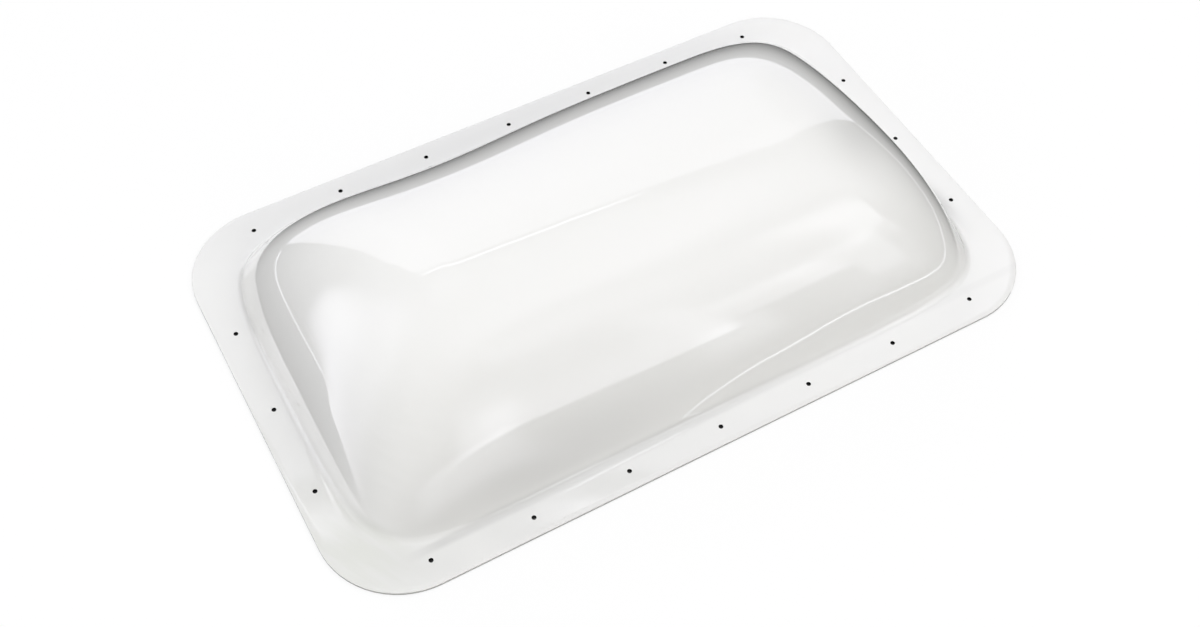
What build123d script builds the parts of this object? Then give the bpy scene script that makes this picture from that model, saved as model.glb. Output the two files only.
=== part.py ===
from build123d import *
from math import acos, cos, exp, hypot, pi, radians, sin, sqrt, tan
import os

# Rooflight dome for a caravan or camper: one thermoformed sheet with a flat rim, and the tape seal under its rim.
# Frame: +X along the long side, +Y towards the far long side, +Z up.
# Origin: the middle of the face that the seal rests on.

# Dome, as the outside of the sheet; its foot is where the wall would meet the rim's top face without a fillet
dome_length = 797.0
dome_width = 463.0
dome_rise = 152.4
end_wall_angle = 74.0
corner_squareness = 1.55
dome_wall = 2.6
foot_fillet = 8.5

# The blown walls are not quite regular: the long walls draw in, most a little left of the middle
waist_depth = 9.0
waist_place = -130.0
waist_reach = 130.0

# The right end wall draws in towards its back corner
shoulder_depth = 10.0
shoulder_place = 113.0
shoulder_reach = 105.0

# Flat rim round the dome
rim_side = 41.55
rim_end = 39.65
rim_corner = 95.0
sheet = 3.2
edge_round = 0.6

# Screw holes in the rim, measured from its outer edges
hole_diameter = 5.2
side_hole_count = 7
side_hole_edge = 21.0
side_end_hole_place = 95.25
side_end_hole_step = 7.5
end_hole_count = 3
end_hole_edge = 22.8
end_hole_pitch = 114.3

# Tape seal under the rim, in four strips butted at the corners
seal_thickness = 1.6
seal_past_holes = 5.2
seal_hole_clearance = 0.9
seal_joint_gap = 0.6

# Sizes worked out from those above
rim_length = dome_length + 2 * rim_end
rim_width = dome_width + 2 * rim_side
rim_bottom = seal_thickness
rim_top = rim_bottom + sheet
side_radius = ((dome_width / 2) ** 2 + dome_rise ** 2) / (2 * dome_rise)
end_radius = dome_rise / (1 - cos(radians(end_wall_angle)))
ridge_half = dome_length / 2 - end_radius * sin(radians(end_wall_angle))

# How finely the dome's outlines are drawn
ridge_points = 8
end_points = 12
level_count = 12
flare_count = 6
crown_angle = 2.0


def half_chord(radius, drop):
    """Half the width of an arc's cap, a given drop below its top."""
    return sqrt(max(radius ** 2 - (radius - drop) ** 2, 0.0))


def draw_in(place, centre, reach, depth, height):
    """Inward shift of a wall: a smooth bump along it, none at the foot and none at the crown."""
    level = min(max(height / dome_rise, 0.0), 1.0)
    return depth * exp(-((place - centre) / reach) ** 2) * 4 * level * (1 - level)


def even_points(line, count):
    """Points at even steps along a line of points, first and last included."""
    lengths = [0.0]
    for a, b in zip(line, line[1:]):
        lengths.append(lengths[-1] + hypot(b[0] - a[0], b[1] - a[1]))
    points = []
    k = 0
    for i in range(count + 1):
        target = lengths[-1] * i / count
        while k < len(line) - 2 and lengths[k + 1] < target:
            k += 1
        share = (target - lengths[k]) / (lengths[k + 1] - lengths[k])
        (ax, ay), (bx, by) = line[k], line[k + 1]
        points.append((ax + share * (bx - ax), ay + share * (by - ay)))
    return points


def end_quarter(side, end, drop):
    """A quarter of the outline, from the end of the ridge round to the middle of the end wall."""
    line = []
    fine = 20 * end_points
    for i in range(fine + 1):
        angle = pi / 2 * i / fine
        across = drop * max(cos(angle), 0.0) ** (2 / corner_squareness)
        along = drop * sin(angle) ** (2 / corner_squareness)
        line.append((ridge_half + half_chord(end, along), half_chord(side, across)))
    return even_points(line, end_points)


def outline_points(height, wall, widening=0.0):
    """The dome's outline at a height above the rim's top face, on the face that lies wall inside the outer one."""
    side = side_radius - wall
    end = end_radius - wall
    drop = dome_rise - wall - height
    length = half_chord(end, drop)
    width = half_chord(side, drop)
    quarter = end_quarter(side, end, drop)
    ridge = [(ridge_half * (2 * i / ridge_points - 1), width) for i in range(1, ridge_points)]
    back = [(-x, y) for x, y in reversed(quarter)] + ridge + quarter
    loop = back + [(x, -y) for x, y in reversed(back[1:-1])]
    swayed = []
    for x, y in loop:
        sway = draw_in(x, waist_place, waist_reach, waist_depth, height) * y / width
        beyond_ridge = max(x - ridge_half, 0.0) / length
        pull = draw_in(y, shoulder_place, shoulder_reach, shoulder_depth, height) * beyond_ridge
        swayed.append((x - pull, y - sway))
    points = []
    for i, (x, y) in enumerate(swayed):
        (ax, ay), (bx, by) = swayed[i - 1], swayed[(i + 1) % len(swayed)]
        step = hypot(bx - ax, by - ay)
        points.append((x - widening * (by - ay) / step, y + widening * (bx - ax) / step, rim_top + height))
    return points


def section(height, wall, widening=0.0):
    """The flat face inside the dome's outline at a height."""
    points = [Vector(*p) for p in outline_points(height, wall, widening)]
    return Face(Wire(Edge.make_spline(points, periodic=True)))


def dome_space(wall, flat, radius):
    """The space under one face of the sheet: a flared foot that springs from a flat face, then the blown dome."""
    foot_angle = acos(1 - dome_rise / side_radius)
    setback = radius * tan(foot_angle / 2)
    flare = []
    for i in range(flare_count + 1):
        turn = foot_angle * i / flare_count
        rise = radius * (1 - cos(turn))
        widening = setback - radius * sin(turn) + rise / tan(foot_angle)
        flare.append(section(flat + rise, wall, widening))
    flare_top = flat + radius * (1 - cos(foot_angle))
    side = side_radius - wall
    centre = dome_rise - side_radius
    first = acos((flare_top - centre) / side)
    blown = []
    for i in range(level_count + 1):
        angle = first + (radians(crown_angle) - first) * i / level_count
        blown.append(section(centre + side * cos(angle), wall))
    return loft(flare, ruled=True) + loft(blown)


def rounded_plate(length, width, corner, bottom, thickness):
    """A flat plate with rounded corners."""
    outline = RectangleRounded(length, width, corner)
    return extrude(Pos(0, 0, bottom) * outline, thickness)


def hole_places():
    """Centres of the screw holes, seven along each long side and three along each end."""
    places = []
    side_y = rim_width / 2 - side_hole_edge
    reach = rim_length / 2 - side_end_hole_place
    for i in range(side_hole_count):
        x = -reach + 2 * reach * i / (side_hole_count - 1)
        step = side_end_hole_step if i in (0, side_hole_count - 1) else 0.0
        places += [(x, side_y - step), (x, step - side_y)]
    end_x = rim_length / 2 - end_hole_edge
    for i in range(end_hole_count):
        y = (i - (end_hole_count - 1) / 2) * end_hole_pitch
        places += [(end_x, y), (-end_x, y)]
    return places


def hole_pins(diameter):
    """Pins that cut the screw holes through the rim and the seal."""
    pin = Cylinder(diameter / 2, 4 * rim_top)
    return [Pos(x, y, rim_top) * pin for x, y in hole_places()]


def outer_dome():
    """The thermoformed sheet: rim, blown dome, foot fillets and screw holes."""
    plate = rounded_plate(rim_length, rim_width, rim_corner, rim_bottom, sheet)
    plate = fillet(plate.edges().group_by(Axis.Z)[-1], edge_round)
    body = plate + dome_space(0.0, 0.0, foot_fillet)
    hollow = dome_space(dome_wall, -sheet, foot_fillet + sheet)
    mouth = extrude(hollow.faces().sort_by(Axis.Z)[0], sheet)
    body = body - (hollow + mouth)
    return body - hole_pins(hole_diameter)


def seal_strips():
    """Four strips of tape that follow the screw line, butted on the corners' diagonals."""
    outer_inset = min(side_hole_edge, end_hole_edge) - 2 * seal_past_holes - hole_diameter / 2
    inner_inset = max(side_hole_edge + side_end_hole_step, end_hole_edge) + seal_past_holes
    ring = rounded_plate(
        rim_length - 2 * outer_inset, rim_width - 2 * outer_inset, rim_corner - outer_inset, 0, seal_thickness)
    ring = ring - rounded_plate(
        rim_length - 2 * inner_inset, rim_width - 2 * inner_inset, rim_corner - inner_inset, 0, seal_thickness)
    corner_x = rim_length / 2 - rim_corner
    corner_y = rim_width / 2 - rim_corner
    slot = Box(2 * rim_corner, seal_joint_gap, 4 * seal_thickness)
    for side_x in (-1, 1):
        for side_y in (-1, 1):
            middle_x = side_x * (corner_x + rim_corner / sqrt(2))
            middle_y = side_y * (corner_y + rim_corner / sqrt(2))
            ring = ring - Pos(middle_x, middle_y, 0) * Rot(0, 0, 45 * side_x * side_y) * slot
    ring = ring - hole_pins(hole_diameter + 2 * seal_hole_clearance)
    return ring.solids()


os.makedirs("parts", exist_ok=True)
dome = outer_dome()
strips = seal_strips()
by_x = sorted(strips, key=lambda s: s.center().X)
by_y = sorted(strips, key=lambda s: s.center().Y)
nodes = {
    "outer_dome": dome,
    "seal_strip_left": by_x[0],
    "seal_strip_right": by_x[-1],
    "seal_strip_front": by_y[0],
    "seal_strip_back": by_y[-1],
}
for name, shape in nodes.items():
    export_step(shape, f"parts/{name}.step")
    box = shape.bounding_box()
    print(name, "solids", len(shape.solids()), "size", [round(v, 2) for v in box.size], "volume", round(shape.volume))
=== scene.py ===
# %% [markdown]
# # A skylight dome for a caravan roof
# The real part is one sheet of white acrylic, clamped flat round its edge, heated, and blown up into a
# dome. Strips of foam tape under its flat rim seal it to the roof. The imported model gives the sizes, the
# holes and the tape; this script gives them the surface, the gloss and the light that they are seen in.
#
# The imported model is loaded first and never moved, so that every piece made here has a place to be
# measured from.

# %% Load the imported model
import math
from functools import partialmethod

import bpy
from mathutils import Matrix, Vector


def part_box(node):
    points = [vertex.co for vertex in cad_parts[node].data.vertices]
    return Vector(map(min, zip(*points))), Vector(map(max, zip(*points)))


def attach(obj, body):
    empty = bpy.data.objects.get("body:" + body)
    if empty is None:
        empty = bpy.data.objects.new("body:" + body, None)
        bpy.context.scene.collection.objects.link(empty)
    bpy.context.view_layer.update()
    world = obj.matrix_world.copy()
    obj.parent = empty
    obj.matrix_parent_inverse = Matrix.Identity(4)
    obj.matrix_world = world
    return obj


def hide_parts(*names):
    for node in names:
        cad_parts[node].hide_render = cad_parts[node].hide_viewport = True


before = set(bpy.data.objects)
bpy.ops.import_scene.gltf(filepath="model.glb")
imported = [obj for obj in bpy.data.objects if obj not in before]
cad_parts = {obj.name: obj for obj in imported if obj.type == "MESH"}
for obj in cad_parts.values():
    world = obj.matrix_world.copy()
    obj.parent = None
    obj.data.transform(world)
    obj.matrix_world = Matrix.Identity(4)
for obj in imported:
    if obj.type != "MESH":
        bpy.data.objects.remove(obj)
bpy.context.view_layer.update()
print("packed nodes:", sorted(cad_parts))

# %% [markdown]
# ## Arithmetic with sockets
# A rule for a shape or a finish is easiest to read as a formula, but Blender keeps it as a net of nodes.
# One small class closes the gap: it stands for a node's output, and each operator used on it adds the Math
# node that does the sum.

# %% A socket that can be reckoned with
class Reading:
    """One output of a node. An operator or method used on it adds a Math node and gives its output."""

    def __init__(self, graph, socket):
        self.graph = graph
        self.socket = socket

    def math(self, operation, *others):
        return self.graph.node("ShaderNodeMath", [self, *others], operation=operation)

    def swapped(self, operation, other):
        return self.graph.node("ShaderNodeMath", [other, self], operation=operation)

    # Each of these adds the Math node whose operation stands beside it
    __add__ = __radd__ = partialmethod(math, "ADD")
    __sub__ = partialmethod(math, "SUBTRACT")
    __rsub__ = partialmethod(swapped, "SUBTRACT")
    __mul__ = __rmul__ = partialmethod(math, "MULTIPLY")
    __truediv__ = partialmethod(math, "DIVIDE")
    __rtruediv__ = partialmethod(swapped, "DIVIDE")
    __pow__ = partialmethod(math, "POWER")
    __neg__ = partialmethod(math, "MULTIPLY", -1.0)
    sqrt = partialmethod(math, "SQRT")
    sin = partialmethod(math, "SINE")
    cos = partialmethod(math, "COSINE")
    tan = partialmethod(math, "TANGENT")
    arccos = partialmethod(math, "ARCCOSINE")
    exp = partialmethod(math, "EXPONENT")
    at_least = partialmethod(math, "MAXIMUM")
    at_most = partialmethod(math, "MINIMUM")
    is_above = partialmethod(math, "GREATER_THAN")

    def ramp(self, low, high):
        """0 up to low, 1 from high on, and a smooth step between them."""
        inputs = [self, low, high, 0.0, 1.0]
        return self.graph.node("ShaderNodeMapRange", inputs, interpolation_type="SMOOTHSTEP")

    def band(self, rise, fall):
        """1 between two ramps, the first of them going up and the second down."""
        return self.ramp(*rise) * (1.0 - self.ramp(*fall))


def squares(*values):
    """The sum of the squares of some readings."""
    first, *others = [value * value for value in values]
    return sum(others, first)


def bell(*distances):
    """1 where every distance is 0, fading out evenly round there."""
    return (-squares(*distances)).exp()


class Graph:
    """A node tree being built."""

    def __init__(self, tree):
        self.tree = tree

    def node(self, kind, inputs=(), output=0, **settings):
        """Adds a node with its settings, fills its sockets with values or links, and gives one output."""
        made = self.tree.nodes.new(kind)
        for name, value in settings.items():
            if name == "stops":
                self.set_stops(made.color_ramp, value)
            else:
                setattr(made, name, value)
        pairs = inputs.items() if isinstance(inputs, dict) else enumerate(inputs)
        for key, value in pairs:
            if isinstance(value, Reading):
                self.tree.links.new(value.socket, made.inputs[key])
            else:
                made.inputs[key].default_value = value
        return Reading(self, made.outputs[output])

    def set_stops(self, ramp, stops):
        """Gives a colour ramp its stops, each a place and a colour."""
        while len(ramp.elements) < len(stops):
            ramp.elements.new(1.0)
        for element, (place, colour) in zip(ramp.elements, stops):
            element.position = place
            element.color = (*colour, 1.0)

    def vector(self, x, y, z):
        return self.node("ShaderNodeCombineXYZ", [x, y, z])

    def parts(self, vector):
        """The X, Y and Z of a vector, each as a reading."""
        first = self.node("ShaderNodeSeparateXYZ", [vector])
        return [Reading(self, socket) for socket in first.socket.node.outputs]

    def mix(self, share, first, second):
        """A colour between two others. A Mix node's sockets share their names, so they go by number."""
        return self.node("ShaderNodeMix", {0: share, 6: first, 7: second}, output=2, data_type="RGBA")

    def line(self, along, points):
        """A bent line: the height over each place along it, straight between the points."""
        (first, _), (last, _) = points[0], points[-1]
        low, high = min(height for _, height in points), max(height for _, height in points)
        places = [(place - first) / (last - first) for place, _ in points]
        greys = [((height - low) / (high - low),) * 3 for _, height in points]
        share = (along - first) / (last - first)
        stops = list(zip(places, greys))
        return low + (high - low) * self.node("ShaderNodeValToRGB", [share], stops=stops)


print("socket arithmetic ready")

# %% [markdown]
# ## Where the camera stands
# The picture is taken from over the near left corner, looking well down. The camera's place was worked out
# from the screw holes, whose pitch is known, so it is given as a real place in metres, two angles that it
# is turned by, and a slight tilt of the frame. A camera in Blender looks down its own -Z axis. The same
# rule that turns a heading and a climb into a direction places the lamps later.

# %% Camera
CAMERA_PLACE = Vector((-0.5282, -0.8912, 1.3580))
CAMERA_HEADING = 30.279   # degrees, as the two angles below are
CAMERA_DOWN = 54.511
CAMERA_ROLL = 1.3265
CAMERA_LENS = 43.65


def toward(heading, climb):
    """The direction with a heading, clockwise from +Y, and a climb above level, both in degrees."""
    heading, climb = math.radians(heading), math.radians(climb)
    level = math.cos(climb)
    return Vector((math.sin(heading) * level, math.cos(heading) * level, math.sin(climb)))


def camera_axes(heading, down, roll):
    """The camera's X, Y and Z axes, from its heading, its dip below level and its tip to the left."""
    ahead = toward(heading, -down)
    level = toward(heading + 90.0, 0.0)
    above = level.cross(ahead)
    right = math.cos(math.radians(roll)) * level + math.sin(math.radians(roll)) * above
    return right, right.cross(ahead), -ahead


def new_object(name, data):
    """A new object in the scene."""
    made = bpy.data.objects.new(name, data)
    bpy.context.scene.collection.objects.link(made)
    return made


camera_data = bpy.data.cameras.new("camera")
camera_data.lens = CAMERA_LENS
camera = new_object("camera", camera_data)
camera.matrix_world = Matrix.Translation(CAMERA_PLACE) @ Matrix(
    camera_axes(CAMERA_HEADING, CAMERA_DOWN, CAMERA_ROLL)).transposed().to_4x4()
bpy.context.scene.camera = camera
print("camera at", tuple(round(v, 3) for v in CAMERA_PLACE))

# %% [markdown]
# ## The blown sheet, as a rule
# A blown dome isn't free-form. Clamped over an opening and blown, hot acrylic takes nearly the shape of a
# soap film: an arc across, an arc at each end, a straight ridge between them, and corners that are softer
# the higher they are. It could be sculpted or drawn with curves, but then a change of width would mean
# sculpting again. Here the rule itself is built in Geometry Nodes: a flat grid is laid out, one direction
# round the dome and one direction up it, and Set Position sends each of its points to where the formula
# says.
#
# The sheet is followed once all the way: from the crown down the outside, over the foot, out across the
# rim, round its edge, back underneath, and up the inside to the crown again. Each of those stretches is
# one band.

# %% Driving sizes of the dome, in metres
LENGTH = 0.797            # between the feet of the end walls
WIDTH = 0.463             # between the feet of the long walls
END_WALL_ANGLE = 74.0     # degrees, at the foot
CORNER_SQUARENESS = 1.55
WALL = 0.0026             # the blown part is stretched, so it is thinner than the rim
FOOT_FILLET = 0.0085
WAIST = {"depth": 0.009, "place": -0.130, "reach": 0.130}    # how far the long walls draw in, and where
SHOULDER = {"depth": 0.010, "place": 0.113, "reach": 0.105}  # the same for the right end wall
RIM_CORNER = 0.095
SHEET = 0.0032
EDGE_ROUND = 0.0006

HOLE_DIAMETER = 0.0052
HOLE_CHAMFER = 0.00025    # the small bevel that the drill leaves
SIDE_HOLES = 7
SIDE_HOLE_EDGE = 0.021
SIDE_END_HOLE_STEP = 0.0075
END_HOLES = 3
END_HOLE_EDGE = 0.0228
HOLE_PITCH = 0.1143

low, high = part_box("outer_dome")
RIM_LENGTH = high.x - low.x
RIM_WIDTH = high.y - low.y
RIM_BOTTOM = low.z
RIM_TOP = RIM_BOTTOM + SHEET
RISE = high.z - RIM_TOP
print(f"rim {RIM_LENGTH * 1000:.1f} x {RIM_WIDTH * 1000:.1f} mm, rise {RISE * 1000:.1f} mm")

# %% How finely it is laid out
RIDGE_STEPS = 30          # along half of the ridge
END_STEPS = 76            # from there round to the middle of an end
DOME_STEPS = 84
INNER_DOME_STEPS = 48
FOOT_STEPS = 8
RIM_STEPS = 6
EDGE_STEPS = 3
QUARTER_STEPS = RIDGE_STEPS + END_STEPS
MERGE_DISTANCE = 1e-6
print("steps round the dome:", 4 * QUARTER_STEPS)

# %% Inputs of the tree
TREE_SIZES = {
    "Length": LENGTH, "Width": WIDTH, "Rise": RISE,
    "End wall angle": math.radians(END_WALL_ANGLE), "Corner squareness": CORNER_SQUARENESS,
    "Wall": WALL, "Foot fillet": FOOT_FILLET,
    **{"Waist " + name: value for name, value in WAIST.items()},
    **{"Shoulder " + name: value for name, value in SHOULDER.items()},
    "Rim length": RIM_LENGTH, "Rim width": RIM_WIDTH, "Rim corner": RIM_CORNER,
    "Rim top": RIM_TOP, "Sheet": SHEET, "Edge round": EDGE_ROUND,
    "Hole diameter": HOLE_DIAMETER, "Hole chamfer": HOLE_CHAMFER, "Hole pitch": HOLE_PITCH,
    "Side hole edge": SIDE_HOLE_EDGE, "Side end hole step": SIDE_END_HOLE_STEP,
    "End hole edge": END_HOLE_EDGE,
}


def new_tree(name, sizes):
    """An empty geometry node tree with a number input for each size: its graph and its inputs by name."""
    tree = bpy.data.node_groups.new(name, "GeometryNodeTree")
    for size, value in sizes.items():
        made = tree.interface.new_socket(size, in_out="INPUT", socket_type="NodeSocketFloat")
        made.default_value = value
    tree.interface.new_socket("Geometry", in_out="OUTPUT", socket_type="NodeSocketGeometry")
    graph = Graph(tree)
    group = tree.nodes.new("NodeGroupInput")
    return graph, {size: Reading(graph, group.outputs[size]) for size in sizes}


def run_tree(name, graph, geometry, material, sizes):
    """Ends a tree, runs it on an empty object and gives the result as a plain mesh object."""
    output = graph.tree.nodes.new("NodeGroupOutput")
    real = graph.node("GeometryNodeRealizeInstances", [geometry])
    dressed = graph.node("GeometryNodeSetMaterial", {"Geometry": real, "Material": material})
    graph.tree.links.new(dressed.socket, output.inputs["Geometry"])
    piece = new_object(name, bpy.data.meshes.new(name))
    modifier = piece.modifiers.new("rule", "NODES")
    modifier.node_group = graph.tree
    for item in graph.tree.interface.items_tree:
        if item.in_out == "INPUT" and item.name in sizes:
            modifier[item.identifier] = sizes[item.name]
    bpy.context.view_layer.update()
    evaluated = piece.evaluated_get(bpy.context.evaluated_depsgraph_get())
    result = bpy.data.meshes.new_from_object(evaluated)
    piece.modifiers.clear()
    piece.data = result
    result.name = name
    return piece


print("sizes that the tree takes:", len(TREE_SIZES))

# %% [markdown]
# ## The formula of one point
# At a height above the rim the outline is found from how far that height lies below the crown. An arc that
# has dropped by d reaches half_chord(d) out to each side. Straight above the ridge all of the drop goes
# across; at the middle of an end all of it goes along; in a corner the two share it, by the rule
# a^m + b^m = 1. With m at 1 the ends would be bowls, and with a large m they would be square boxes.

# %% The outline at one height
def half_chord(radius, drop):
    """Half the width of an arc's cap, a given drop below its top."""
    return (2.0 * radius * drop - drop * drop).at_least(0.0).sqrt()


class DomeRule:
    """The blown shape: gives the outline of either face at any height, for a place on the way round it."""

    def __init__(self, sizes, around):
        self.sizes = sizes
        rise, half_width = sizes["Rise"], sizes["Width"] / 2.0
        self.side_radius = (half_width * half_width + rise * rise) / (2.0 * rise)
        self.end_radius = rise / (1.0 - sizes["End wall angle"].cos())
        self.ridge_half = sizes["Length"] / 2.0 - self.end_radius * sizes["End wall angle"].sin()
        self.foot_angle = (1.0 - rise / self.side_radius).arccos()
        fold = around.math("PINGPONG", 1.0)
        ridge_share = RIDGE_STEPS / QUARTER_STEPS
        self.on_ridge = (fold / ridge_share).at_most(1.0)
        turn = ((fold - ridge_share) / (1.0 - ridge_share)).at_least(0.0) * (math.pi / 2)
        self.right = 1.0 - around.is_above(2.0)
        back = 1.0 - around.is_above(1.0) + around.is_above(3.0)
        self.side_x = 2.0 * self.right - 1.0
        self.side_y = 2.0 * back - 1.0
        power = 2.0 * sizes["Corner squareness"]
        across, along = turn.cos().at_least(0.0), turn.sin()
        length = (across ** power + along ** power) ** (1.0 / power)
        self.across_root = across / length
        self.along_root = along / length

    def draw_in(self, name, place, level):
        """Inward shift of a wall: a smooth bump along it, none at the foot and none at the crown."""
        bump = bell((place - self.sizes[name + " place"]) / self.sizes[name + " reach"])
        return self.sizes[name + " depth"] * bump * 4.0 * level * (1.0 - level)

    def outline(self, height, wall, widening=None):
        """X and Y of the outline at a height above the rim's top, on the face that lies wall inside."""
        sizes = self.sizes
        side, end = self.side_radius - wall, self.end_radius - wall
        drop = (sizes["Rise"] - wall - height).at_least(0.0)
        across = drop * self.across_root * self.across_root
        along = drop * self.along_root * self.along_root
        beyond = half_chord(end, along)
        x = self.ridge_half * self.on_ridge + beyond
        y = half_chord(side, across)
        level = (height / (sizes["Rise"] - wall)).at_least(0.0).at_most(1.0)
        sway = self.draw_in("Waist", x * self.side_x, level)
        pull = self.draw_in("Shoulder", y * self.side_y, level)
        moved_x = x - pull * self.right * beyond / half_chord(end, drop)
        moved_y = y * (1.0 - sway / half_chord(side, drop))
        if widening is not None:
            power = 2.0 * (sizes["Corner squareness"] - 1.0)
            lean_x = self.along_root ** power * beyond / (end - along)
            lean_y = self.across_root ** power * y / (side - across)
            lean = squares(lean_x, lean_y).sqrt()
            moved_x = moved_x + widening * lean_x / lean
            moved_y = moved_y + widening * lean_y / lean
        return moved_x * self.side_x, moved_y * self.side_y

    def rim(self, x, y, inset):
        """The point of the rim's rounded outline outward of a foot point, set in from the edge."""
        sizes = self.sizes
        corner_x = sizes["Rim length"] / 2.0 - sizes["Rim corner"]
        corner_y = sizes["Rim width"] / 2.0 - sizes["Rim corner"]
        centre_x = x.at_least(-corner_x).at_most(corner_x)
        centre_y = y.at_least(-corner_y).at_most(corner_y)
        away_x, away_y = x - centre_x, y - centre_y
        scale = (sizes["Rim corner"] - inset) / squares(away_x, away_y).sqrt()
        return centre_x + scale * away_x, centre_y + scale * away_y


print("dome rule ready")

# %% [markdown]
# ## The bands of the sheet
# A Grid node gives a flat net whose points know where they are in it. The column says how far round the
# dome a point is, and the row how far across its band. Each band turns those two numbers into a height and
# an inset, and the rule above turns them into a place. All the nets have one size, so they can share the
# nodes of the rule. The bands meet exactly, so Merge by Distance welds them into one closed skin with no
# seam.

# %% One face of the sheet, from its crown to its edge
class SheetFace:
    """The outer or the inner face. Its bands run outward on the outer face and inward on the inner one."""

    def __init__(self, rule, share, inside):
        sizes = rule.sizes
        self.rule, self.share = rule, 1.0 - share if inside else share
        self.wall = sizes["Wall"] if inside else 0.0
        self.base = -sizes["Sheet"] if inside else 0.0
        self.radius = sizes["Foot fillet"] - self.base
        self.setback = self.radius * (rule.foot_angle / 2.0).tan()
        self.near = rule.outline(self.base, self.wall, self.setback)
        self.far = rule.rim(*self.near, 0.0 if inside else sizes["Edge round"])
        self.level = sizes["Rim top"] + self.base

    def dome(self):
        """The blown part, from the crown to the top of the foot's bend."""
        rise, side_radius = self.rule.sizes["Rise"], self.rule.side_radius
        side = side_radius - self.wall
        foot_top = self.base + self.radius * (1.0 - self.rule.foot_angle.cos())
        last = ((foot_top - rise + side_radius) / side).arccos()
        height = rise - side_radius + side * (last * self.share).cos()
        return *self.rule.outline(height, self.wall), height + self.rule.sizes["Rim top"]

    def foot(self):
        """The bend from the wall out to the flat rim."""
        turn = self.rule.foot_angle * (1.0 - self.share)
        climb = self.radius * (1.0 - turn.cos())
        widening = self.setback - self.radius * turn.sin() + climb / self.rule.foot_angle.tan()
        return *self.rule.outline(self.base + climb, self.wall, widening), self.level + climb

    def flange(self):
        """The flat part, from the foot's bend to the edge."""
        (near_x, near_y), (far_x, far_y) = self.near, self.far
        return near_x + (far_x - near_x) * self.share, near_y + (far_y - near_y) * self.share, self.level


def edge_round(rule, outer, share):
    """The small round between the rim's top and its cut edge."""
    radius = rule.sizes["Edge round"]
    turn = share * (math.pi / 2)
    x, y = rule.rim(*outer.near, radius * (1.0 - turn.sin()))
    return x, y, outer.level - radius * (1.0 - turn.cos())


def cut_edge(rule, outer, inner, share):
    """The cut edge of the sheet, from its small round down to the underside."""
    x, y = rule.rim(*outer.near, 0.0)
    low_x, low_y = inner.far
    top = outer.level - rule.sizes["Edge round"]
    return x + (low_x - x) * share, y + (low_y - y) * share, top + (inner.level - top) * share


print("bands ready")

# %% [markdown]
# ## The screw holes
# Twenty holes go round the rim: seven on each long side, the outer two of them set in a little so that
# they clear the rounded corner, and three on each end. The real ones are drilled, so these are drilled
# too: one drill is made, put on twenty points by Instance on Points, and taken out of the sheet by a Mesh
# Boolean. A place for each point comes from its own number, so a change of count or pitch needs no new
# list. The drills also carry a named attribute, which the cut leaves on the walls of the holes: by that
# mark the material will know later which walls are a hole's, and paint them near black, as painted shade.

# %% Drills for the screw holes
DRILLED = "drilled"
HOLE_SIDES = 40
SIDE_TOTAL = 2 * SIDE_HOLES
HOLE_TOTAL = SIDE_TOTAL + 2 * END_HOLES


def hole_place(graph, sizes):
    """The place of each hole, from its number: first both long sides, then both ends."""
    number = graph.node("GeometryNodeInputIndex")
    on_end = number.is_above(SIDE_TOTAL - 0.5)
    side_step = number.math("MODULO", float(SIDE_HOLES))
    far_side = 2.0 * number.is_above(SIDE_HOLES - 0.5) - 1.0
    side_x = (side_step - (SIDE_HOLES - 1) / 2.0) * sizes["Hole pitch"]
    outermost = side_step.math("COMPARE", 0.0, 0.5) + side_step.math("COMPARE", SIDE_HOLES - 1.0, 0.5)
    inset = sizes["Side hole edge"] + outermost * sizes["Side end hole step"]
    side_y = far_side * (sizes["Rim width"] / 2.0 - inset)
    end_number = number - float(SIDE_TOTAL)
    end_step = end_number.math("MODULO", float(END_HOLES))
    far_end = 2.0 * end_number.is_above(END_HOLES - 0.5) - 1.0
    end_x = far_end * (sizes["Rim length"] / 2.0 - sizes["End hole edge"])
    end_y = (end_step - (END_HOLES - 1) / 2.0) * sizes["Hole pitch"]
    x = side_x * (1.0 - on_end) + end_x * on_end
    y = side_y * (1.0 - on_end) + end_y * on_end
    return graph.vector(x, y, sizes["Rim top"])


def drills(graph, sizes):
    """A drill for each hole, and as many small cones that bevel the holes' mouths."""
    radius, chamfer = sizes["Hole diameter"] / 2.0, sizes["Hole chamfer"]
    places = hole_place(graph, sizes)
    points = graph.node("GeometryNodePoints", {"Count": HOLE_TOTAL, "Position": places})
    depth = 4.0 * sizes["Sheet"]
    drill = graph.node(
        "GeometryNodeMeshCylinder", {"Vertices": HOLE_SIDES, "Radius": radius, "Depth": depth})
    # A cone widens as fast as it rises, from two bevels below the rim's top to one above it
    bevel = graph.node(
        "GeometryNodeMeshCone",
        {"Vertices": HOLE_SIDES, "Radius Top": radius + 2.0 * chamfer, "Radius Bottom": radius - chamfer,
         "Depth": 3.0 * chamfer})
    bevel = graph.node(
        "GeometryNodeTransform", {"Geometry": bevel, "Translation": graph.vector(0.0, 0.0, -2.0 * chamfer)})
    made = []
    for tool, mark in ((drill, 1.0), (bevel, 0.0)):
        marked = graph.node(
            "GeometryNodeStoreNamedAttribute", {"Geometry": tool, "Name": DRILLED, "Value": mark},
            domain="FACE")
        placed = graph.node("GeometryNodeInstanceOnPoints", {"Points": points, "Instance": marked})
        made.append(graph.node("GeometryNodeRealizeInstances", [placed]))
    return made


print("screw holes:", HOLE_TOTAL)

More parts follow.
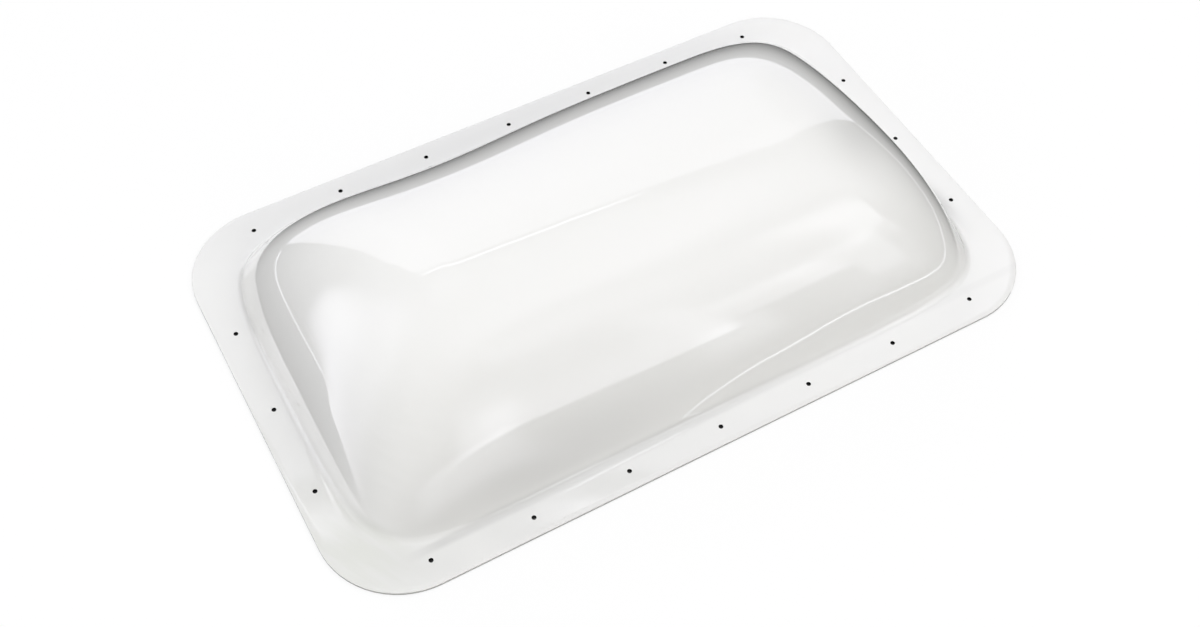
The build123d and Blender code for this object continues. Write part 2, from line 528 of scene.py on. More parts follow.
# %% The tree of the whole sheet
def sheet_tree():
    """Builds the tree and gives its graph and the welded and drilled sheet."""
    graph, sizes = new_tree("blown_sheet_rule", TREE_SIZES)
    column, row, _ = graph.parts(graph.node("GeometryNodeInputPosition"))
    around = ((column + 0.5) * 4.0 * QUARTER_STEPS).math("ROUND") / QUARTER_STEPS
    share = row + 0.5
    rule = DomeRule(sizes, around)
    outer, inner = SheetFace(rule, share, False), SheetFace(rule, share, True)
    bands = [
        (DOME_STEPS, outer.dome()), (FOOT_STEPS, outer.foot()), (RIM_STEPS, outer.flange()),
        (EDGE_STEPS, edge_round(rule, outer, share)), (1, cut_edge(rule, outer, inner, share)),
        (RIM_STEPS, inner.flange()), (FOOT_STEPS, inner.foot()), (INNER_DOME_STEPS, inner.dome()),
    ]
    joined = graph.node("GeometryNodeJoinGeometry")
    for steps, place in bands:
        net = graph.node("GeometryNodeMeshGrid", [1.0, 1.0, 4 * QUARTER_STEPS + 1, steps + 1])
        target = graph.vector(*place)
        strip = graph.node("GeometryNodeSetPosition", {"Geometry": net, "Position": target})
        graph.tree.links.new(strip.socket, joined.socket.node.inputs[0])
    welded = graph.node("GeometryNodeMergeByDistance", {"Geometry": joined, "Distance": MERGE_DISTANCE})
    drilled = graph.node(
        "GeometryNodeMeshBoolean", {"Mesh 1": welded}, operation="DIFFERENCE", solver="MANIFOLD")
    for tool in drills(graph, sizes):
        graph.tree.links.new(tool.socket, drilled.socket.node.inputs["Mesh 2"])
    return graph, drilled


acrylic = bpy.data.materials.new("white_acrylic")
blown = run_tree("dome_sheet", *sheet_tree(), acrylic, TREE_SIZES)
print("blown sheet:", len(blown.data.vertices), "points,", len(blown.data.polygons), "faces")

# %% [markdown]
# ## Smooth shading with crisp edges
# The blown walls have to mirror the room without facets, while the drilled holes and the sawn edge have to
# stay sharp. So every face is shaded smooth, and only the edges where two faces meet at a real corner are
# marked sharp. A bevel with many steps would do it too, at the cost of many more faces.

# %% Mark the sharp edges
SHARP_ANGLE = math.radians(35.0)
blown.data.shade_smooth()
blown.data.set_sharp_from_angle(angle=SHARP_ANGLE)
print("sharp edges:", sum(edge.use_edge_sharp for edge in blown.data.edges))
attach(blown, "root")
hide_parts("outer_dome")

# %% [markdown]
# ## White acrylic
# Opal acrylic is cast with a white pigment. Light goes a few millimetres into it and comes out softened,
# and both of its faces mirror the room, so it gleams about twice as much as painted plastic does. That is
# why the shader has its own gloss and a clear coat over it. Blowing stretches the dome thinner than its
# rim, so the pigment covers less there. Its white is a little grey and warm, partly for that and partly as
# painted shade of the dark hollow under it. Mould ripple and fine wiping marks are too small to model, so
# they are a faint bump and a change of roughness.
#
# This sheet also gets painted shade in a few places on the blown wall and on the rim, along the foot's
# bend, at the right end wall, and in streaks at one corner, which was handled, so its gloss is wiped dull.
# An image could be painted for that. Each is a soft round patch of a given place and reach instead, or a
# band between two ramps, so it can be moved by changing a number.

# %% Colours of the acrylic
RIM_WHITE = (0.858, 0.857, 0.848, 1.0)
RIM_PAINTED_SHADE = (0.780, 0.780, 0.766, 1.0)      # painted shade: the rim is darker towards its front left
RIM_SHADE_SLOPE = {"across": 0.9, "reach": (-0.45, 0.38)}
# The dome's white: partly its thinner pigment, partly painted shade of the dark hollow under it
DOME_WHITE_AND_SHADE = (0.851, 0.850, 0.834, 1.0)
STRETCH_REACH = 0.10      # the share of the rise over which the rim's white turns into the dome's
CLOUD_SHADE = (0.837, 0.836, 0.817, 1.0)
CLOUDS = {"size": 0.11, "reach": (0.45, 0.75), "share": 0.5}
STREAK_SHADE_COLOUR = (0.690, 0.698, 0.662, 1.0)
BLACK = (0.0, 0.0, 0.0, 1.0)
# The walls of the holes are painted near black, as painted shade
HOLE_WALL_SHADE = (0.012, 0.012, 0.012, 1.0)
print("whites of the rim and the dome:", RIM_WHITE[:3], DOME_WHITE_AND_SHADE[:3])

# %% Places on the sheet, in metres
# Painted shade on the blown wall: a place, how far it reaches along and across, and how dark it is
WALL_SHADE_PLACES = {
    "front_wall": ((-0.180, -0.215), (0.150, 0.030), 0.17),
    "front_left_corner": ((-0.350, -0.225), (0.050, 0.030), 0.08),
    "right_wall": ((0.282, -0.062), (0.030, 0.035), 0.10),
}
# The same painted shade on the rim
RIM_SHADE_PLACES = {
    "back": ((0.000, 0.255), (0.330, 0.040), 0.115),
    "left": ((-0.430, -0.080), (0.030, 0.120), 0.045),
    "right_foot": ((0.400, -0.110), (0.011, 0.035), 0.27),
}
# Painted shade along the foot's bend in front and on the left, and on the right end wall near its foot
FRONT_FOOT_SHADE = {"out": ((0.225, 0.230), (0.2335, 0.2405)), "up": (0.003, 0.010), "from": (-0.375, -0.320),
              "fade": (-0.08, 0.26), "faded": 0.8, "share": 0.16}
LEFT_FOOT_SHADE = {"up": ((0.0, 0.001), (0.004, 0.022)), "across": (-0.402, -0.378), "share": 0.03}
RIGHT_END_SHADE = {"across": (0.355, 0.385), "share": 0.31}
# The handled corner: its gloss is dull on the rim, and it is painted with shade there, more of it drawn out
# in streaks, and a little mottled on the dome
HANDLED_AND_SHADED = {"place": (-0.345, -0.235), "reach": (0.150, 0.085), "full": 0.8, "share": 0.055}
STREAKED_SHADE = {"place": (-0.405, -0.200), "reach": (0.055, 0.070), "share": 0.95}
MOTTLED_SHADE = {"place": (-0.330, -0.150), "reach": (0.060, 0.060), "share": 0.10}
STREAKS = {"heading": (0.47, -0.88), "squeeze": 0.16, "size": 0.011, "reach": (0.34, 0.66), "least": 0.35}
print("thin places:", len(WALL_SHADE_PLACES), "dull places:", len(RIM_SHADE_PLACES))

# %% Gloss of the acrylic
ACRYLIC_IOR = 1.49
GLOSS = 0.012
WIPING = {"size": 0.020, "reach": (0.48, 0.80), "rough": 0.03}
SPECKS = {"size": 0.004, "reach": (0.55, 0.80), "rough": 0.012}
HANDLED_ROUGH = 0.21
COAT_ROUGHNESS = 0.008
COAT_LOST = 0.9           # how much of the coat's gloss the handled corner has lost
RIPPLE = {"size": 0.060, "strength": 0.25, "depth": 0.001}
print(f"roughness {GLOSS} to {GLOSS + WIPING['rough'] + SPECKS['rough'] + HANDLED_ROUGH:.3f}")

# %% What every shader begins and ends with
def shader_graph(owner):
    """Empties the node tree of a material or a world and gives its graph."""
    owner.use_nodes = True
    owner.node_tree.nodes.clear()
    return Graph(owner.node_tree)


def material_graph(material):
    """The graph of a material, and the place on the object, in metres."""
    graph = shader_graph(material)
    return graph, graph.node("ShaderNodeTexCoord", output="Object")


def end_shader(graph, shader, output="ShaderNodeOutputMaterial"):
    """Links a shader to the output."""
    graph.tree.links.new(shader.socket, graph.tree.nodes.new(output).inputs["Surface"])


def noise(graph, place, size, detail=3.0, roughness=0.5):
    """Smooth noise whose lumps are about as large as size, in metres, as a number round 0.5."""
    values = {"Vector": place, "Scale": 1.0 / size, "Detail": detail, "Roughness": roughness}
    return graph.node("ShaderNodeTexNoise", values)


print("shader helpers ready")

# %% Where a point lies on the sheet
class SheetPlace:
    """A point of the sheet, with the masks that its colour and its gloss follow."""

    def __init__(self, graph, place):
        self.graph = graph
        self.x, self.y, self.z = graph.parts(place)
        self.above = self.z - RIM_TOP
        self.stretched = self.above.ramp(0.0, STRETCH_REACH * RISE)
        self.flat = 1.0 - self.stretched
        # The handled corner: its gloss is dull, and it gets painted shade
        corner = self.patch(HANDLED_AND_SHADED["place"], HANDLED_AND_SHADED["reach"])
        self.handled_and_shaded = corner.ramp(0.0, HANDLED_AND_SHADED["full"]) * self.flat

    def patch(self, centre, reach):
        """1 at a place and fading out evenly round it."""
        return bell((self.x - centre[0]) / reach[0], (self.y - centre[1]) / reach[1])

    def patches(self, places):
        """How dark a set of places makes the sheet."""
        return sum(share * self.patch(centre, reach) for centre, reach, share in places.values())

    def foot(self):
        """Painted shade along the foot's bend, in front and on the left."""
        front = (-self.y).band(*FRONT_FOOT_SHADE["out"]) * (1.0 - self.above.ramp(*FRONT_FOOT_SHADE["up"]))
        front = front * (1.0 - FRONT_FOOT_SHADE["faded"] * self.x.ramp(*FRONT_FOOT_SHADE["fade"]))
        front = front * self.x.ramp(*FRONT_FOOT_SHADE["from"])
        left = self.above.band(*LEFT_FOOT_SHADE["up"]) * (1.0 - self.x.ramp(*LEFT_FOOT_SHADE["across"]))
        return FRONT_FOOT_SHADE["share"] * front + LEFT_FOOT_SHADE["share"] * left

    def shade(self):
        """How much painted shade the sheet gets in all, apart from its streaked corner."""
        blown = self.patches(WALL_SHADE_PLACES) + RIGHT_END_SHADE["share"] * self.x.ramp(*RIGHT_END_SHADE["across"])
        dark = blown * self.stretched + self.patches(RIM_SHADE_PLACES) * self.flat
        return dark + HANDLED_AND_SHADED["share"] * self.handled_and_shaded + self.foot()

    def corner_streak_shade(self):
        """How much painted shade the handled corner gets, in streaks that all run one way."""
        way_x, way_y = STREAKS["heading"]
        along, aside = self.x * way_x + self.y * way_y, self.x * way_y - self.y * way_x
        drawn_out = self.graph.vector(along * STREAKS["squeeze"], aside, self.z)
        streaks = noise(self.graph, drawn_out, STREAKS["size"], detail=5.0).ramp(*STREAKS["reach"])
        rim_streak_shade = self.patch(STREAKED_SHADE["place"], STREAKED_SHADE["reach"]) * self.flat * STREAKED_SHADE["share"]
        dome_mottled_shade = self.patch(MOTTLED_SHADE["place"], MOTTLED_SHADE["reach"]) * self.stretched * MOTTLED_SHADE["share"]
        return (rim_streak_shade + dome_mottled_shade) * (STREAKS["least"] + (1.0 - STREAKS["least"]) * streaks)


print("sheet masks ready")

# %% Acrylic
def acrylic_colour(graph, place, spot):
    """White that turns warmer where it is stretched, with its clouds, and with painted shade in places, in
    streaks and in the holes.
    """
    # The rim is painted darker towards its front left, as painted shade
    rim = graph.mix((spot.x + spot.y * RIM_SHADE_SLOPE["across"]).ramp(*RIM_SHADE_SLOPE["reach"]), RIM_PAINTED_SHADE, RIM_WHITE)
    colour = graph.mix(spot.stretched, rim, DOME_WHITE_AND_SHADE)
    clouds = noise(graph, place, CLOUDS["size"], detail=4.0).ramp(*CLOUDS["reach"])
    colour = graph.mix(clouds * CLOUDS["share"], colour, CLOUD_SHADE)
    # Painted shade in places, then painted shade in streaks at the handled corner
    colour = graph.mix(spot.shade(), colour, BLACK)
    colour = graph.mix(spot.corner_streak_shade(), colour, STREAK_SHADE_COLOUR)
    # The walls of the holes are painted near black, as painted shade
    drilled = graph.node("ShaderNodeAttribute", output="Fac", attribute_name=DRILLED)
    return graph.mix(drilled, colour, HOLE_WALL_SHADE)


def acrylic_roughness(graph, place, spot):
    """Nearly a mirror, less so where it is wiped or specked, and dull at the handled corner."""
    wiping = noise(graph, place, WIPING["size"], detail=5.0, roughness=0.65).ramp(*WIPING["reach"])
    specks = noise(graph, place, SPECKS["size"], detail=2.0).ramp(*SPECKS["reach"])
    return GLOSS + WIPING["rough"] * wiping + SPECKS["rough"] * specks + HANDLED_ROUGH * spot.handled_and_shaded


def build_acrylic(material):
    """White acrylic sheet, stretched thin where it is blown."""
    graph, place = material_graph(material)
    spot = SheetPlace(graph, place)
    ripple = noise(graph, place, RIPPLE["size"], detail=1.0)
    bump = graph.node(
        "ShaderNodeBump", {"Strength": RIPPLE["strength"], "Distance": RIPPLE["depth"], "Height": ripple})
    shader = graph.node(
        "ShaderNodeBsdfPrincipled",
        {"Base Color": acrylic_colour(graph, place, spot),
         "Roughness": acrylic_roughness(graph, place, spot),
         "Normal": bump, "IOR": ACRYLIC_IOR, "Coat Weight": 1.0 - COAT_LOST * spot.handled_and_shaded,
         "Coat Roughness": COAT_ROUGHNESS, "Coat IOR": ACRYLIC_IOR})
    end_shader(graph, shader)


build_acrylic(acrylic)
print("acrylic:", len(acrylic.node_tree.nodes), "nodes")

# %% [markdown]
# ## Sealing tape
# The tape is closed-cell foam with a slight bloom, cut from a roll and butted at the corners. Its cells
# are about a third of a millimetre wide, which is finer than any mesh should be, so a cell pattern gives
# the bump and the speckle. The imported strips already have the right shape, so they only get this finish.

# %% Tape
TAPE_GREY = (0.030, 0.031, 0.034, 1.0)
TAPE_PALE = (0.075, 0.077, 0.082, 1.0)
TAPE_BLOOM = {"size": 0.015, "reach": (0.35, 0.75), "share": 0.8}
CELLS = {"size": 0.00035, "reach": (0.2, 0.6), "share": 0.2, "strength": 0.5, "depth": 0.0002}
TAPE_ROUGHNESS = (0.78, 0.96)
TAPE_IOR = 1.45


def build_tape(material):
    """Grey closed-cell foam tape."""
    graph, place = material_graph(material)
    cells = graph.node("ShaderNodeTexVoronoi", {"Vector": place, "Scale": 1.0 / CELLS["size"]})
    bloom = noise(graph, place, TAPE_BLOOM["size"], detail=4.0)
    pale = TAPE_BLOOM["share"] * bloom.ramp(*TAPE_BLOOM["reach"])
    pale = pale + CELLS["share"] * cells.ramp(*CELLS["reach"])
    least, most = TAPE_ROUGHNESS
    bump = graph.node(
        "ShaderNodeBump", {"Strength": CELLS["strength"], "Distance": CELLS["depth"], "Height": cells})
    shader = graph.node(
        "ShaderNodeBsdfPrincipled",
        {"Base Color": graph.mix(pale, TAPE_GREY, TAPE_PALE), "Roughness": least + (most - least) * bloom,
         "Normal": bump, "IOR": TAPE_IOR})
    end_shader(graph, shader)


tape = bpy.data.materials.new("sealing_tape")
build_tape(tape)
strips = [node for name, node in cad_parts.items() if name.startswith("seal_strip")]
for strip in strips:
    strip.data.materials.clear()
    strip.data.materials.append(tape)
print("tape on", len(strips), "strips")

# %% [markdown]
# ## The ground
# The part lies on a plain pale ground. Light Path turns the ground white for what the camera sees,
# straight or through glass, so no lamp has to be turned up for that, and the part's shadow stays, because
# a share of that white is still a plain diffuse surface. For the light that bounces off it the ground is
# dark, as a table top would be: a white table would light the foot of the dome from below and wash out its
# walls. The gloss doesn't see the ground at all, so that the foot mirrors the dark table of the room.

# %% Ground
GROUND_SIZE = 40.0
GROUND_BOUNCE = (0.06, 0.06, 0.06, 1.0)
GROUND_PALE = (0.90, 0.90, 0.90, 1.0)
GROUND_GLOW = 0.84        # the share of the ground's white that is its own
UNDER_INSET = 0.012       # the ground is dark from this far inside the rim's edge, so the holes look dark
WHITE = (1.0, 1.0, 1.0, 1.0)


def light_path(graph, name):
    """1 for rays of one kind and 0 for all others."""
    return graph.node("ShaderNodeLightPath", output=name)


def mirrored_rays(graph):
    """1 for the rays that gloss or glass sends on."""
    return light_path(graph, "Is Glossy Ray").at_least(light_path(graph, "Is Transmission Ray"))


def beside_part(graph, place):
    """0 on the ground under the part and 1 beside it, with the outline of the rim set in a little."""
    x, y, _ = graph.parts(place)
    past_x = (x.math("ABSOLUTE") - (RIM_LENGTH / 2.0 - RIM_CORNER)).at_least(0.0)
    past_y = (y.math("ABSOLUTE") - (RIM_WIDTH / 2.0 - RIM_CORNER)).at_least(0.0)
    return squares(past_x, past_y).sqrt().is_above(RIM_CORNER - UNDER_INSET)


def build_ground(material):
    """White for the camera, with the part's shadow on it, and dark for the light that bounces off it."""
    graph, place = material_graph(material)
    dark = graph.node("ShaderNodeBsdfDiffuse", {"Color": GROUND_BOUNCE})
    pale = graph.node("ShaderNodeBsdfDiffuse", {"Color": GROUND_PALE})
    white = graph.node("ShaderNodeEmission", {"Color": WHITE, "Strength": 1.0})
    shown = graph.node("ShaderNodeMixShader", [GROUND_GLOW, pale, white])
    seen = light_path(graph, "Is Camera Ray").at_least(mirrored_rays(graph))
    where = seen * beside_part(graph, place)
    end_shader(graph, graph.node("ShaderNodeMixShader", [where, dark, shown]))


def flat_piece(name, corners, material):
    """A flat staged surface through its corners, in order."""
    mesh = bpy.data.meshes.new(name)
    mesh.from_pydata(corners, [], [range(len(corners))])
    mesh.materials.append(material)
    piece = new_object(name, mesh)
    return piece


half = GROUND_SIZE / 2.0
ground_material = bpy.data.materials.new("ground")
build_ground(ground_material)
outline = [(-half, -half), (half, -half), (half, half), (-half, half)]
ground = flat_piece("ground", [(x, y, 0.0) for x, y in outline], ground_material)
ground.visible_glossy = False
print("ground:", GROUND_SIZE, "m wide")

# %% [markdown]
# ## The room that the gloss mirrors
# A white glossy thing on white ground has no outline of its own: what draws it is the room that it
# mirrors. Here that is a bright wall behind with a lit ledge over it, a window on the left, a dim ceiling
# with a lighter cove, and a dark table top whose far edge runs round everything as a fine line. Far things
# could be built out of glowing cards. They are written into the world's shader instead, as one rule: each
# direction has a heading, clockwise from +Y, and a climb above level, both in degrees, and each window and
# glow is a formula in those two. A colour ramp serves as a bent line, which is how an edge follows the
# photograph from place to place.

# %% A room as a sum of windows and glows
class Room:
    """The light that comes from each direction. Headings and climbs are in degrees."""

    def __init__(self, graph):
        self.graph = graph
        x, y, z = graph.parts(graph.node("ShaderNodeTexCoord", output="Generated"))
        self.heading = x.math("ARCTAN2", y) * math.degrees(1.0)
        self.climb = z.math("ARCSINE") * math.degrees(1.0)

    def past(self, heading):
        """How far a direction lies clockwise of a heading, from -180 to 180."""
        return (self.heading - heading).math("WRAP", 180.0, -180.0)

    def glow(self, heading, climb, width, height, strength):
        """A round glow that fades out evenly."""
        return strength * bell(self.past(heading) / width, (self.climb - climb) / height)

    def over(self, points):
        """How far a direction lies over a bent line, which gives a climb for each heading."""
        return self.climb - self.graph.line(self.heading, points)

    def right_of(self, points):
        """How far a direction lies clockwise of a bent line, which gives a heading for each climb."""
        return self.heading - self.graph.line(self.climb, points)


print("room rule ready")

# %% The dark table top and its bright edge
TABLE_EDGE = [
    (-180.0, -4.0), (-100.0, -14.0), (-75.0, -11.0), (-66.0, -10.3), (-61.0, -9.8), (-58.5, -4.0),
    (-50.0, -5.8), (-40.0, -7.6), (-25.0, -8.9), (-10.0, -8.8), (0.0, -8.4), (10.0, -8.4), (20.0, -7.6),
    (36.0, -2.5), (45.0, -1.1), (55.0, -1.7), (62.0, -5.0), (70.0, -9.8), (80.0, -9.9), (100.0, -3.9),
    (120.0, -2.0), (140.0, -0.2), (150.0, 1.0), (154.0, 2.1), (157.0, -0.8), (163.0, -2.8), (180.0, -3.0),
]
TABLE_SOFT = (-0.3, 0.3)
TABLE_TONE = 0.01
TABLE_LINE = {"up": ((0.0, 0.3), (0.9, 1.3)), "strength": 1.30}
# The line shows on the left and on the right, where it brightens as it comes nearer
LINE_LEFT = ((-57.5, -56.5), (-21.5, -20.5))
LINE_RIGHT = {"along": ((61.5, 62.5), (159.0, 167.0)), "share": 0.9, "nearer": (120.0, 150.0), "more": 0.9}


def above_table(room):
    """1 above the table's edge, and the fine bright line of the edge itself."""
    above = room.over(TABLE_EDGE)
    right = LINE_RIGHT["share"] + LINE_RIGHT["more"] * room.heading.ramp(*LINE_RIGHT["nearer"])
    sides = room.heading.band(*LINE_LEFT) + room.heading.band(*LINE_RIGHT["along"]) * right
    return above.ramp(*TABLE_SOFT), above.band(*TABLE_LINE["up"]) * sides * TABLE_LINE["strength"]


print("table edge:", len(TABLE_EDGE), "points")

# %% The bright wall behind and the ledge over it
BACK_WALL = {"dim": 0.67, "bright": 0.085}
BACK_WALL_LEFT = [(-10.0, -16.5), (5.0, -19.0), (20.0, -22.0), (35.0, -23.5), (50.0, -26.5)]
BACK_WALL_RIGHT = 61.3
BACK_WALL_TOP = [
    (-26.0, 47.0), (-20.0, 51.0), (-15.0, 54.2), (-8.0, 56.8), (0.0, 58.4), (10.0, 59.6), (20.0, 60.2),
    (33.0, 60.6), (45.0, 60.0), (55.0, 59.8), (62.6, 59.8)]
WALL_EDGE = (-0.25, 0.25)
# Past a bent line the wall is dim, and it has a darker patch, given as the glows below are
DIM_FROM = [(0.0, 26.0), (30.0, 29.0), (60.0, 60.0)]
DIM_ACROSS = (0.0, 15.0)
DIM_UP = (2.0, 18.0)
DARK_PATCH = (42.0, 35.0, 14.0, 22.0, 0.28)
LEDGE = {"up": ((1.2, 1.6), (2.2, 2.7)), "along": ((-14.0, -6.0), (42.0, 50.0)), "strength": 1.60}


def back_wall(room):
    """The bright wall behind: where it is, how bright, and the thin lit ledge over its top."""
    top = room.over(BACK_WALL_TOP)
    where = room.right_of(BACK_WALL_LEFT).ramp(*WALL_EDGE) * (1.0 - top.ramp(*WALL_EDGE))
    where = where * (1.0 - (room.heading - BACK_WALL_RIGHT).ramp(*WALL_EDGE))
    dim = room.right_of(DIM_FROM).ramp(*DIM_ACROSS) * room.climb.ramp(*DIM_UP)
    wall = BACK_WALL["dim"] + BACK_WALL["bright"] * (1.0 - dim)
    ledge = top.band(*LEDGE["up"]) * room.heading.band(*LEDGE["along"])
    return where, wall * (1.0 - room.glow(*DARK_PATCH)), ledge * LEDGE["strength"]


print("top of the back wall:", len(BACK_WALL_TOP), "points")

# %% The window on the left
LEFT_WINDOW_EDGE = [
    (-15.0, -58.0), (-3.0, -57.0), (5.0, -53.5), (20.0, -47.5), (35.0, -43.5), (45.0, -38.5), (55.0, -29.0)]
LEFT_WINDOW = {"edge": (-3.0, 4.0), "left": (-92.0, -70.0), "top": (25.0, 62.0), "strength": 0.85}
LEFT_WINDOW_CORE = {"edge": (-3.0, 5.0), "width": 11.0, "top": (17.0, 42.0), "strength": 0.91}


def left_window(room):
    """The window on the left, brightest along its slanted inner edge."""
    inside = -room.right_of(LEFT_WINDOW_EDGE)
    plain = inside.ramp(*LEFT_WINDOW["edge"]) * room.heading.ramp(*LEFT_WINDOW["left"])
    plain = plain * (1.0 - room.climb.ramp(*LEFT_WINDOW["top"]))
    core = inside.ramp(*LEFT_WINDOW_CORE["edge"]) * bell(inside / LEFT_WINDOW_CORE["width"])
    core = core * (1.0 - room.climb.ramp(*LEFT_WINDOW_CORE["top"]))
    return LEFT_WINDOW["strength"] * plain + LEFT_WINDOW_CORE["strength"] * core


print("edge of the left window:", len(LEFT_WINDOW_EDGE), "points")

# %% The ceiling and the soft glows
# Each glow is a heading, a climb, a width, a height and a strength
GLOWS = {
    "above_left_window": (-56.0, 52.0, 22.0, 12.0, 0.63),
    "right_high": (110.0, 66.0, 45.0, 9.0, 0.27),
    "front_high": (135.0, 60.0, 40.0, 12.0, 0.31),
    "right_low": (113.0, 45.0, 16.0, 13.0, 0.42),
}
CEILING = {"up": (50.0, 85.0), "strength": 0.37}
COVE = {"up": ((62.0, 67.0), (74.0, 84.0)), "left": (-20.0, 20.0), "strength": 0.24}


def soft_glows(room):
    """The ceiling, the lighter cove under it, and the glows."""
    light = CEILING["strength"] * room.climb.ramp(*CEILING["up"])
    light = light + COVE["strength"] * room.climb.band(*COVE["up"]) * room.heading.ramp(*COVE["left"])
    for glow in GLOWS.values():
        light = light + room.glow(*glow)
    return light


print("glows:", len(GLOWS))

# %% The world
ROOM_COOL = (0.940, 0.935, 1.0, 1.0)
MIRRORED = 1.22           # lifts the whole of the room as the gloss shows it
DULL_SHARE = 0.36         # how much of the room's light reaches dull surfaces; lamps do the rest


def build_world(world):
    """White for the camera, and the room for every other ray."""
    graph = shader_graph(world)
    room = Room(graph)
    above, line = above_table(room)
    where, wall, ledge = back_wall(room)
    light = where * wall + (1.0 - where) * (left_window(room) + soft_glows(room) + line + ledge)
    light = above * light + (1.0 - above) * TABLE_TONE
    light = light * (DULL_SHARE + (MIRRORED - DULL_SHARE) * mirrored_rays(graph))
    seen = light_path(graph, "Is Camera Ray")
    tint = graph.mix(seen, ROOM_COOL, WHITE)
    strength = seen + (1.0 - seen) * light
    background = graph.node("ShaderNodeBackground", {"Color": tint, "Strength": strength})
    end_shader(graph, background, "ShaderNodeOutputWorld")


world = bpy.data.worlds.new("room")
bpy.context.scene.world = world
build_world(world)
print("room:", len(world.node_tree.nodes), "nodes")

# %% [markdown]
# ## The windows in front
# What stands near the part can't be written as a direction, because it shifts from place to place along
# the dome: one dark window bar is mirrored as a slanting gap between two pale patches. So the windows in
# front are painted on an upright card, and their panes are ramps in its X and Z. Only the gloss sees the
# card.

# %% The panes on the card, in metres
CARD_DISTANCE = 1.5
CARD_SPAN = (-1.2, 3.2)
CARD_TOP = 4.0
CARD_PEAK = 3.0           # the brightest that a pane can be
# Each pane has where it comes up from the left, where it goes down again, the same upward, and a strength
PANES = {
    "left": ((-0.50, 0.05), (0.53, 0.61), (0.585, 0.635), (0.80, 1.25), 0.66),
    "left_wide": ((-0.35, -0.10), (0.53, 0.61), (0.585, 0.635), (1.20, 1.70), 0.45),
    "by_the_bar": ((-0.05, 0.15), (0.25, 0.30), (0.585, 0.635), (0.90, 1.25), 0.48),
    "past_the_bar": ((0.38, 0.50), (0.55, 0.60), (0.585, 0.635), (0.80, 1.15), 0.30),
    "middle": ((0.55, 0.60), (0.95, 1.00), (0.74, 0.79), (1.05, 1.30), 0.75),
    "middle_edge": ((0.80, 0.88), (0.92, 1.00), (0.76, 0.82), (1.10, 1.30), 0.30),
    "right": ((0.94, 1.02), (1.33, 1.54), (0.36, 0.50), (1.10, 1.40), 0.62),
    "low_middle": ((0.33, 0.50), (0.62, 0.72), (0.15, 0.50), (0.68, 0.80), 0.66),
    "low_left": ((-1.30, -0.70), (0.15, 0.25), (0.10, 0.35), (0.62, 0.75), 0.66),
    "low_right": ((0.70, 1.00), (1.60, 2.50), (0.12, 0.30), (0.60, 1.40), 0.38),
    "veil": ((0.30, 0.50), (1.90, 2.30), (0.85, 1.20), (2.00, 3.40), 0.57),
}
# The sky stands over the panes, up from a bent foot, and its left edge leans
SKY_FOOT = [(1.2, 1.1), (1.5, 1.25), (1.9, 1.4), (2.1, 1.8), (2.35, 2.4), (2.7, 4.0)]
SKY = {"left": (0.85, 1.10), "lean": 0.15, "up": (-0.06, 0.10), "top": (2.2, 3.2), "strength": 0.74}
# The bar leans too, widens upward, and fades out below and partly above
BAR = {"foot": 0.150, "lean": 0.155, "width": 0.013, "widening": 0.018, "share": 0.28}
BAR_UP = (0.40, 0.55)
BAR_FADE = {"up": (1.2, 2.4), "share": 0.6}
print("panes:", len(PANES))

# %% The window card
def window_bar(x, z):
    """How much of the light the leaning bar takes away."""
    across = bell((x - BAR["foot"] - BAR["lean"] * z) / (BAR["width"] + BAR["widening"] * z))
    along = z.ramp(*BAR_UP) * (1.0 - BAR_FADE["share"] * z.ramp(*BAR_FADE["up"]))
    return BAR["share"] * across * along


def front_light(graph, x, z):
    """How bright the card is at a place on it."""
    panes = sum(
        strength * x.band(up_x, down_x) * z.band(up_z, down_z)
        for up_x, down_x, up_z, down_z, strength in PANES.values())
    over = z - graph.line(x, SKY_FOOT)
    sky = (x - SKY["lean"] * z).ramp(*SKY["left"]) * over.ramp(*SKY["up"]) * (1.0 - z.ramp(*SKY["top"]))
    return (panes * (1.0 - window_bar(x, z)) + SKY["strength"] * sky) * MIRRORED


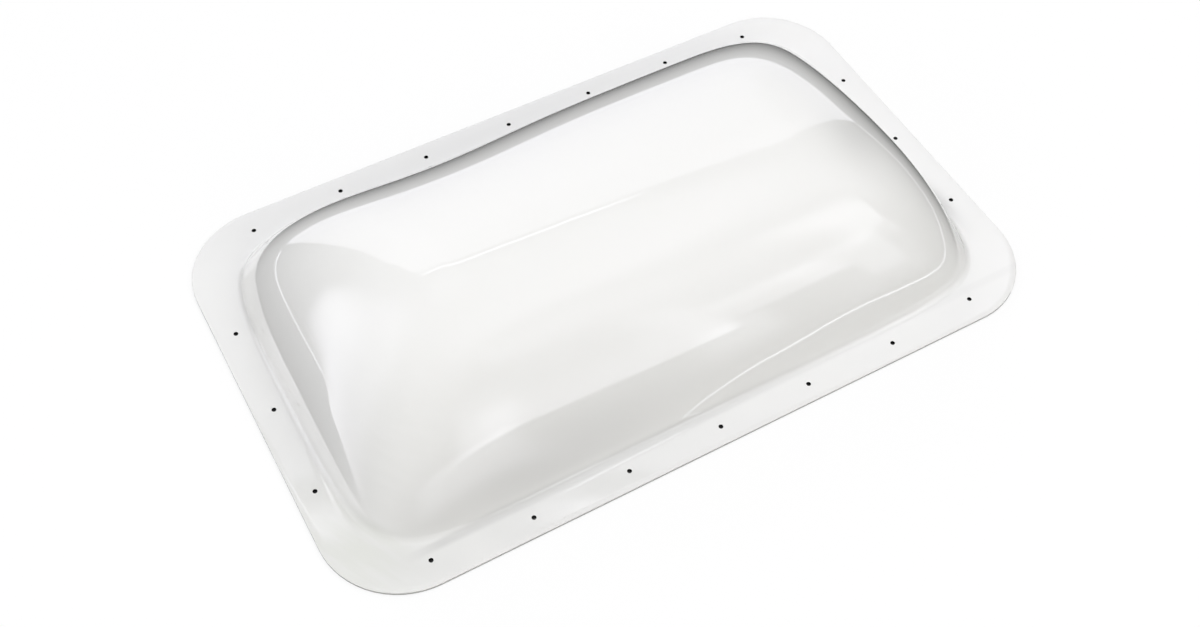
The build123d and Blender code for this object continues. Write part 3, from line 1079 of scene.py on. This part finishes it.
def build_card(material):
    """Panes that glow, and nothing between them. The mix reaches the full peak only where the panes do."""
    graph, place = material_graph(material)
    x, _, z = graph.parts(place)
    clear = graph.node("ShaderNodeBsdfTransparent", {"Color": WHITE})
    lit = graph.node("ShaderNodeEmission", {"Color": ROOM_COOL, "Strength": CARD_PEAK})
    share = (front_light(graph, x, z) / CARD_PEAK).at_most(1.0)
    end_shader(graph, graph.node("ShaderNodeMixShader", [share, clear, lit]))


card_material = bpy.data.materials.new("window_card")
build_card(card_material)
left, right = CARD_SPAN
outline = [(left, 0.0), (right, 0.0), (right, CARD_TOP), (left, CARD_TOP)]
card = flat_piece("window_card", [(x, -CARD_DISTANCE, z) for x, z in outline], card_material)
for rays in ("camera", "diffuse", "transmission", "volume_scatter", "shadow"):
    setattr(card, "visible_" + rays, False)
print("window card:", len(card_material.node_tree.nodes), "nodes")

# %% [markdown]
# ## The lamps
# The room alone would light the part from behind. Broad lamps all round and overhead lift it to a plain
# level, at which a colour renders about as it is written. None of them shows in the gloss, because they
# would draw discs on the crown that a soft ceiling doesn't have. The light from above is a little cool and
# the light from the front a little warm, so the crown looks neutral and the front wall slightly cream.

# %% Lamps
# Each is a heading, a climb and a power
LAMPS = {
    "overhead_lamp": (-90.0, 80.0, 124.0),
    "front_lamp": (170.0, 28.0, 101.0),
    "back_lamp": (10.0, 14.0, 108.0),
    "near_left_lamp": (-110.0, 14.0, 70.0),
    "back_left_lamp": (-60.0, 14.0, 56.0),
    "right_high_lamp": (100.0, 50.0, 82.0),
}
LAMP_TINTS = {"overhead_lamp": (0.985, 0.988, 1.0), "front_lamp": (1.0, 0.985, 0.950)}
PLAIN_TINT = (1.0, 1.0, 1.0)
LAMP_DISTANCE = 5.0
LAMP_SIZE = 3.64

for name, (heading, climb, power) in LAMPS.items():
    lamp_data = bpy.data.lights.new(name, "AREA")
    lamp_data.shape = "DISK"
    lamp_data.size = LAMP_SIZE
    lamp_data.energy = power
    lamp_data.color = LAMP_TINTS.get(name, PLAIN_TINT)
    lamp = new_object(name, lamp_data)
    lamp.location = LAMP_DISTANCE * toward(heading, climb)
    lamp.rotation_euler = (-lamp.location).to_track_quat("-Z", "Y").to_euler()
    lamp.visible_glossy = False
bpy.context.scene.view_settings.view_transform = "Standard"
print("lamps:", len(LAMPS))

# %% The end of the scene
print("scene built")
